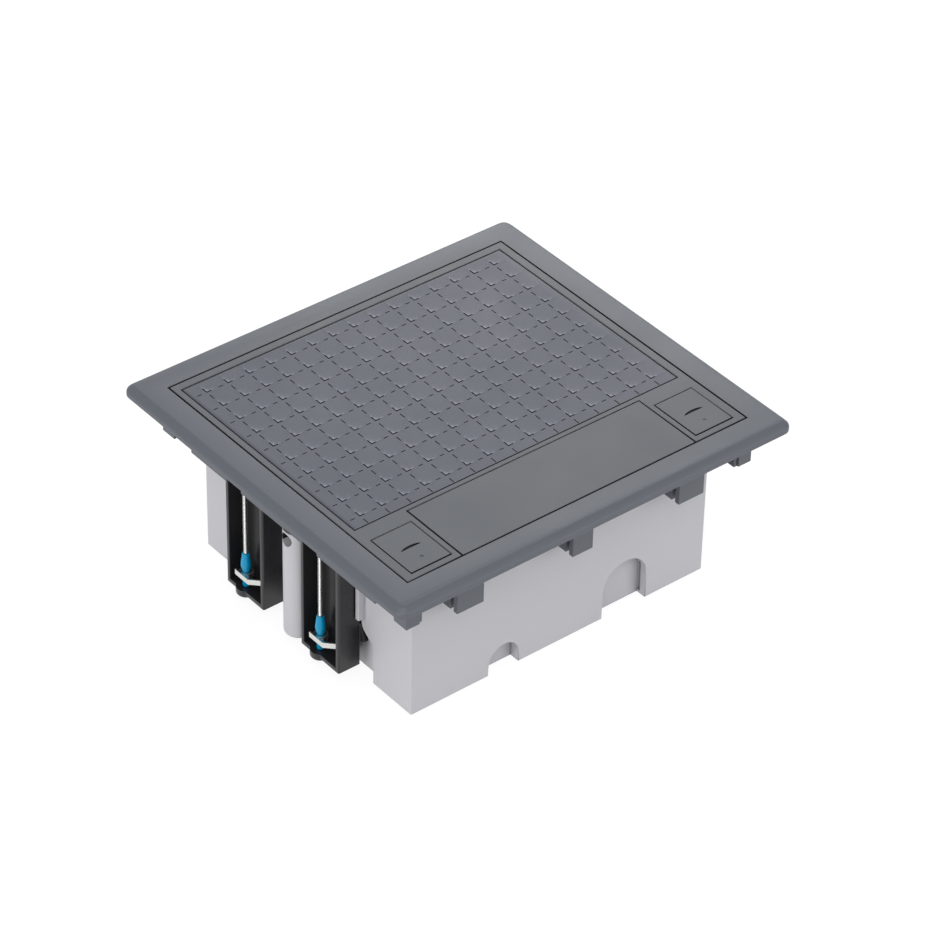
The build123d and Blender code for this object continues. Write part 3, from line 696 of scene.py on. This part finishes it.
def make_crossing():
    """An L-shaped groove that holds a raised corner, and two short grooves in line with it."""
    groove, half = 0.4, 0.27
    far_x, near_x, crown_x, arm_x = -5.4, -2.9, 1.1, 2.7
    far_y, near_y, crown_y, arm_y = -6.2, -2.6, 1.2, 3.4
    bpy.ops.object.select_all(action="DESELECT")
    bpy.ops.mesh.primitive_plane_add(size=1)
    obj = bpy.context.object
    obj.name = "lid_insert_relief"
    bpy.ops.object.mode_set(mode="EDIT")
    bpy.ops.mesh.select_all(action="SELECT")
    bpy.ops.transform.resize(value=(weave.x * MM, weave.y * MM, 1), center_override=(0, 0, 0))
    lines = [((x, 0, 0), (1, 0, 0)) for x in (far_x, near_x, -half, half, crown_x, arm_x)]
    lines += [((0, y, 0), (0, 1, 0)) for y in (far_y, near_y, -half, half, crown_y, arm_y)]
    for place, way in lines:
        bpy.ops.mesh.select_all(action="SELECT")
        bpy.ops.mesh.bisect(plane_co=Vector(place) * MM, plane_no=way)

    def in_groove(beside, along, far, near, arm):
        return abs(beside) < half + SLACK and (
            -half - SLACK < along < arm + SLACK or far - SLACK < along < near + SLACK)

    def at(c, x, y):
        return c.z > -SLACK and abs(c.x - x) < SLACK and abs(c.y - y) < SLACK

    def on_ridge(c):
        return c.z > -SLACK and (
            (abs(c.x - half) < SLACK and half + SLACK < c.y < arm_y + SLACK)
            or (half + SLACK < c.x < arm_x + SLACK and abs(c.y - half) < SLACK))

    bpy.ops.mesh.select_mode(type="FACE")
    shape = bmesh.from_edit_mesh(obj.data)
    for face in shape.faces:
        c = face.calc_center_median() / MM
        upright = in_groove(c.x, c.y, far_y, near_y, arm_y)
        lying = in_groove(c.y, c.x, far_x, near_x, arm_x)
        face.select_set(upright or lying)
    bmesh.update_edit_mesh(obj.data)
    bpy.ops.mesh.extrude_region_move(TRANSFORM_OT_translate={"value": (0, 0, -groove * MM)})
    bpy.ops.mesh.select_mode(type="VERT")
    lifts = [(lambda c: at(c, half, half), 1.0), (on_ridge, 0.8), (lambda c: at(c, crown_x, crown_y), 0.6)]
    for test, share in lifts:
        choose(obj, test)
        bpy.ops.transform.translate(value=(0, 0, share * relief_lift * MM))
    bpy.ops.mesh.select_all(action="SELECT")
    return obj


# %% The whole insert
def repeat(obj, count, step):
    """Repeats a piece with an Array modifier whose copies grow together."""
    rows = obj.modifiers.new("repeat", "ARRAY")
    rows.count = count
    rows.use_relative_offset = False
    rows.use_constant_offset = True
    rows.constant_offset_displace = (step[0] * MM, step[1] * MM, 0)
    rows.use_merge_vertices = True
    rows.merge_threshold = SLACK * MM
    bpy.ops.object.modifier_apply(modifier=rows.name)


def add_border(field_low, field_high, low, high, level):
    """Pulls the open field out to the insert's outline and closes its sides and bottom."""
    bpy.ops.mesh.select_all(action="DESELECT")
    bpy.ops.mesh.select_non_manifold()
    field = field_high - field_low
    grow = [(high[i] - low[i]) / field[i] for i in (0, 1)]
    still = [(low[i] - grow[i] * field_low[i]) / (1 - grow[i]) * MM for i in (0, 1)]
    bpy.ops.mesh.extrude_region_move()
    bpy.ops.transform.resize(value=(grow[0], grow[1], 1), center_override=(still[0], still[1], 0))
    bpy.ops.mesh.extrude_region_move(TRANSFORM_OT_translate={"value": (0, 0, (low.z - level) * MM)})
    bpy.ops.mesh.edge_face_add()
    bpy.ops.mesh.select_all(action="SELECT")
    bpy.ops.mesh.normals_make_consistent(inside=False)


def make_insert():
    """The insert with its relief, a little smaller than its seat in the lid."""
    play = Vector((0.2, 0.2, 0))
    low, high = (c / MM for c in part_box("lid_insert"))
    low, high = low + play, high - play
    across, along = 15, 10
    first = Vector((-88.0, -40.4))
    level = high.z - relief_lift
    front_strip, rim_turn = 0.4, 0.3
    obj = make_crossing()
    bpy.ops.transform.translate(value=(first.x * MM, first.y * MM, level * MM))
    done(obj)
    repeat(obj, across, (weave.x, 0))
    repeat(obj, along, (0, weave.y))
    edit(obj, "EDGE")
    field_low = first - weave / 2
    field_high = field_low + Vector((across * weave.x, along * weave.y))
    field_low.y = low.y + front_strip
    bpy.ops.mesh.select_all(action="SELECT")
    bpy.ops.mesh.bisect(plane_co=(0, field_low.y * MM, 0), plane_no=(0, 1, 0), clear_inner=True)
    add_border(field_low, field_high, low, high, level)

    def on_rim(c):
        at_x = min(abs(c.x - low.x), abs(c.x - high.x)) < SLACK
        at_y = min(abs(c.y - low.y), abs(c.y - high.y)) < SLACK
        return abs(c.z - level) < SLACK and (at_x or at_y)

    choose(obj, on_rim, "edges")
    bpy.ops.mesh.bevel(offset=rim_turn * MM, segments=2)
    done(obj)
    bpy.ops.object.shade_smooth_by_angle(angle=math.radians(30))
    obj.data.materials.append(insert_plastic)
    return fit_in(obj, "lid_insert")


print("insert:", len(make_insert().data.polygons), "faces")

# %% [markdown]
# ## Tub
#
# The tub is a deep moulding with soft edges, and nearly half a millimetre of radius gives its
# corners the pale line that they have in the photograph. Only the long edges on its outer
# walls are rounded: inside, the edges lie too close together. The nut pockets in its columns
# are deep, so their faces get a darker plastic with a long reach: painted shade.

# %% Tub
def second_material(obj, mat, test):
    """Gives the faces whose corners all pass the test another material."""
    if mat.name not in obj.data.materials:
        obj.data.materials.append(mat)
    bpy.ops.mesh.select_mode(type="FACE")
    choose(obj, test, "faces")
    obj.active_material_index = obj.data.materials.find(mat.name)
    bpy.ops.object.material_slot_assign()


def make_tub():
    """The tub, with painted shade on the deep nut pockets in its two columns."""
    obj = merged("tub")
    low, high = (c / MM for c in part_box("frame_nuts"))
    height = (low.z + high.z) / 2
    nut_half_x, nut_half_y = 3.5, 3.0
    pocket_radius, pocket_reach, pocket_foot = 3.75, 4, 2.2
    for s in (-1, 1):
        x = s * (high.x - nut_half_x)
        y = s * (high.y - nut_half_y)

        def in_pocket(c):
            return (s * c.x > s * x - pocket_reach and c.z > height - pocket_foot
                    and math.hypot(c.y - y, c.z - height) < pocket_radius)

        # The pocket's faces get the darker plastic, as painted shade.
        second_material(obj, pocket_shade_plastic, in_pocket)
    wall_x, wall_y, inward, shortest = 88, 79.4, 0.2, 5.0

    def outer_edge(a, b):
        beyond = max(abs(a.x + b.x) / 2 - wall_x, abs(a.y + b.y) / 2 - wall_y)
        return (a - b).length > shortest and beyond > -inward

    soften_some(done(obj), 0.45, outer_edge)
    return fit_in(obj, "tub")


print("tub:", len(make_tub().data.polygons), "faces")

# %% [markdown]
# ## Sockets and data ports
#
# Each socket has two metal earth clips at the wall of its well, and dark shutters behind its
# two contact holes. The data ports are dark inside. All of that is part of the CAD shapes,
# so the faces are only given other materials, chosen by where they lie in the module.

# %% Modules
def make_module(name):
    """A socket or a data module with its metal and dark parts."""
    obj = merged(name)
    low, high = (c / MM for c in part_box(name))
    x, y, top = (low.x + high.x) / 2, (low.y + high.y) / 2, high.z
    well_rim, clip_half, clip_reach, clip_below = 3.0, 2.01, 2.8, 2.9
    shutter_aside, shutter_radius = 9.5, 2.5
    port_aside, port_half, port_front, port_back = 10, 6.1, 7.6, 5.1
    wall = (high.y - low.y) / 2 - well_rim

    def in_clip(c):
        return (abs(c.x - x) < clip_half and abs(c.y - y) > wall - clip_reach
                and c.z < top - clip_below)

    def in_shutter(c):
        return math.hypot(abs(c.x - x) - shutter_aside, c.y - y) < shutter_radius

    def in_port(c):
        return abs(abs(c.x - x) - port_aside) < port_half and -port_front < c.y - y < port_back

    if name.startswith("socket"):
        second_material(obj, zinc, in_clip)
        second_material(obj, shutter_plastic, in_shutter)
    else:
        second_material(obj, shutter_plastic, in_port)
    soften(done(obj), 0.3)
    return fit_in(obj, name)


for name in nodes:
    if name.startswith(("socket_", "data_module")):
        print(name, len(make_module(name).data.polygons), "faces")

# %% [markdown]
# ## Other pieces inside
#
# The module carriers, the blank module and the dividers are plain mouldings, the claw plates
# and the stiffener are cut from sheet, and the hinge pins are drawn wire. Their solids are
# complete, so they only need the small radii that a mould, a punch or a saw leaves.

# %% Other pieces inside
widths = {"carrier_": 0.3, "blank_module": 0.3, "divider_": 0.2, "claw_plate": 0.2,
          "stiffener": 0.15, "lid_hinge_pins": 0.15}
for name in nodes:
    width = next((w for start, w in widths.items() if name.startswith(start)), None)
    if width:
        print(name, len(rounded(name, width).data.polygons), "faces")

# %% [markdown]
# ## Claws
#
# A claw is a threaded rod in a black housing. A blue carrier runs on the rod and pushes the
# zinc plate round and up until it bites under the floor panel. The rod's thread is real
# geometry: one turn of its outline is spun and raised by a Screw modifier. The carrier is a
# drop, turned from its outline by the spin operator. The housing's foot is rounded like the
# end of a finger.

# %% Claw housings
def make_housing(name):
    """A claw housing whose lower end is rounded."""
    low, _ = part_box(name)
    obj = merged(name)
    bpy.ops.mesh.select_mode(type="EDGE")
    choose(obj, lambda c: c.z < low.z / MM + SLACK, "edges")
    bpy.ops.mesh.bevel(offset=1.4 * MM, segments=4, clamp_overlap=True)
    soften(done(obj), 0.35)
    return fit_in(obj, name)


def make_each(start, make):
    """Makes the piece for every CAD node whose name starts like this."""
    for name in [n for n in nodes if n.startswith(start)]:
        print(name, len(make(name).data.polygons), "faces")


make_each("claw_housing", make_housing)


# %% Claw screws
def join(obj, others):
    """Joins other pieces into the first one."""
    pick(obj)
    for other in others:
        other.select_set(True)
    bpy.ops.object.join()
    return obj


def thread(place, height, crest, root, pitch):
    """A threaded rod: one turn of its outline, spun and raised by a Screw modifier."""
    bpy.ops.object.select_all(action="DESELECT")
    bpy.ops.mesh.primitive_plane_add(size=pitch * MM, rotation=(math.radians(90), 0, 0))
    obj = bpy.context.object
    bpy.ops.object.transform_apply(rotation=True)
    edit(obj, "VERT")
    choose(obj, lambda c: c.x < 0)
    bpy.ops.mesh.delete(type="VERT")
    bpy.ops.mesh.select_all(action="SELECT")
    bpy.ops.mesh.subdivide(number_cuts=1)
    bpy.ops.transform.translate(value=((crest - pitch / 2) * MM, 0, pitch / 2 * MM))
    choose(obj, lambda c: abs(c.z - pitch / 2) < SLACK)
    bpy.ops.transform.translate(value=((root - crest) * MM, 0, 0))
    done(obj)
    turns = obj.modifiers.new("turns", "SCREW")
    turns.axis = "Z"
    turns.steps = turns.render_steps = 16
    turns.screw_offset = pitch * MM
    turns.iterations = int(height / pitch) - 1
    turns.use_merge_vertices = True
    turns.merge_threshold = 0.001 * MM
    bpy.ops.object.modifier_apply(modifier=turns.name)
    edit(obj)
    bpy.ops.mesh.select_all(action="SELECT")
    bpy.ops.transform.translate(value=Vector(place) * MM)
    bpy.ops.mesh.normals_make_consistent(inside=False)
    done(obj)
    bpy.ops.object.shade_smooth_by_angle(angle=math.radians(50))
    return obj


def cross_recess(obj, place, size, depth):
    """A cross for a screwdriver, sunk into a head from above, with walls that lean in."""
    bar_width, lean_in = 0.24 * size, 0.55
    for turn in (0, 90):
        bpy.ops.object.select_all(action="DESELECT")
        bpy.ops.mesh.primitive_cube_add(size=1, location=Vector(place) * MM)
        cutter = bpy.context.object
        cutter.scale = Vector((size, bar_width, 2 * depth)) * MM
        cutter.rotation_euler.z = math.radians(turn)
        bpy.ops.object.transform_apply(location=True, rotation=True, scale=True)
        edit(cutter, "FACE")
        choose(cutter, lambda c: c.z < place[2], "faces")
        middle = Vector((place[0], place[1], 0)) * MM
        bpy.ops.transform.resize(value=(lean_in, lean_in, 1), center_override=middle)
        done(cutter)
        cut_with(obj, cutter)


def screw_head(place, radius, height):
    """A pan head: a cylinder whose upper rim is rounded and that gets a cross recess."""
    rim_turn, cross_size, cross_depth = 0.45 * height, 1.25 * radius, 0.6 * height
    x, y, z = place
    obj = round_bar((x, y, z + height / 2), radius, height, 32)
    edit(obj, "EDGE")
    choose(obj, lambda c: c.z > z + height - SLACK, "edges")
    bpy.ops.mesh.bevel(offset=rim_turn * MM, segments=4)
    done(obj)
    cross_recess(obj, (x, y, z + height), cross_size, cross_depth)
    bpy.ops.object.shade_smooth_by_angle(angle=math.radians(35))
    return obj


def screw(x, y, foot, top, head, crest, root, core, pitch):
    """Thread, core and head of an upright screw; the head is given as (radius, height)."""
    radius, height = head
    shank = top - height - foot
    return [thread((x, y, foot), shank, crest, root, pitch),
            round_bar((x, y, (foot + top - height) / 2), core, shank, 16),
            screw_head((x, y, top - height), radius, height)]


def make_claw_screw(name):
    """A claw's screw, with a real thread in place of the CAD model's plain rod."""
    low, high = (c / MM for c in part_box(name))
    x, y = (low.x + high.x) / 2, (low.y + high.y) / 2
    pieces = screw(x, y, low.z, high.z, (high.x - x, 2.0), crest=1.25, root=0.98, core=1.0, pitch=0.8)
    obj = join(pieces[0], pieces[1:])
    obj.name = name + "_thread"
    obj.data.materials.append(zinc)
    return fit_in(obj, name)


make_each("claw_screw", make_claw_screw)


# %% Claw carriers
def turned(name, x, y, outline):
    """A closed round piece, spun from an outline of (radius, height) pairs in millimetres."""
    bpy.ops.object.select_all(action="DESELECT")
    bpy.ops.mesh.primitive_plane_add(size=1)
    obj = bpy.context.object
    obj.name = name
    edit(obj, "VERT")
    choose(obj, lambda c: not (c.x > 0 and c.y > 0))
    bpy.ops.mesh.delete(type="VERT")
    start = Vector((x + outline[0][0], y, outline[0][1])) * MM
    bpy.ops.mesh.select_all(action="SELECT")
    bpy.ops.transform.translate(value=start - Vector((0.5, 0.5, 0)))
    for (r0, z0), (r1, z1) in zip(outline, outline[1:]):
        step = (r1 * MM - r0 * MM, 0, (z1 - z0) * MM)
        bpy.ops.mesh.extrude_region_move(TRANSFORM_OT_translate={"value": step})
    bpy.ops.mesh.select_all(action="SELECT")
    bpy.ops.mesh.spin(steps=32, angle=2 * math.pi, center=(x * MM, y * MM, 0), axis=(0, 0, 1))
    bpy.ops.mesh.select_all(action="SELECT")
    bpy.ops.mesh.remove_doubles(threshold=0.002 * MM)
    bpy.ops.mesh.normals_make_consistent(inside=False)
    done(obj)
    bpy.ops.object.shade_smooth_by_angle(angle=math.radians(40))
    return obj


def make_carrier(name):
    """A blue carrier: a straight stem through the plate and a drop above it."""
    low, high = (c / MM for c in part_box(name))
    x, y = (low.x + high.x) / 2, (low.y + high.y) / 2
    _, plate_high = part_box(name.replace("carrier", "plate"))
    plate_top = plate_high.z / MM
    bore, stem, top = 1.3, 1.9, high.z
    drop = [(stem, 0.6), (2.2, 1.5), (2.5, 2.7), (2.6, 3.9), (2.55, 5.2), (2.3, 7.0), (2.05, 8.6)]
    outline = [(bore, low.z), (1.75, low.z), (stem, low.z + 0.3), (stem, plate_top - 0.4)]
    outline += [(radius, plate_top + rise) for radius, rise in drop]
    outline += [(1.95, top - 0.5), (1.7, top - 0.1), (bore, top), (bore, low.z)]
    obj = turned(name + "_drop", x, y, outline)
    obj.data.materials.append(blue_plastic)
    return fit_in(obj, name)


make_each("claw_carrier", make_carrier)

# %% [markdown]
# ## Frame screws and nuts
#
# Two pan head screws hold the frame on the tub, each in a round column with a nut trapped
# near its top. They are made from the same tools as the claw screws. The screw's own pitch
# is finer than the claw's.

# %% Frame screws and nuts
def make_frame_screws():
    """The two screws that hold the frame on the tub, at opposite corners."""
    low, high = (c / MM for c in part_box("frame_screws"))
    head = (3.4, 1.9)
    pieces = []
    for s in (-1, 1):
        x = s * (high.x - head[0])
        y = s * (high.y - head[0])
        pieces += screw(x, y, low.z, high.z, head, crest=1.75, root=1.35, core=1.4, pitch=0.7)
    obj = join(pieces[0], pieces[1:])
    obj.name = "frame_screws_threaded"
    obj.data.materials.append(zinc)
    return fit_in(obj, "frame_screws")


print("frame screws:", len(make_frame_screws().data.polygons), "faces")
print("frame nuts:", len(rounded("frame_nuts", 0.3).data.polygons), "faces")
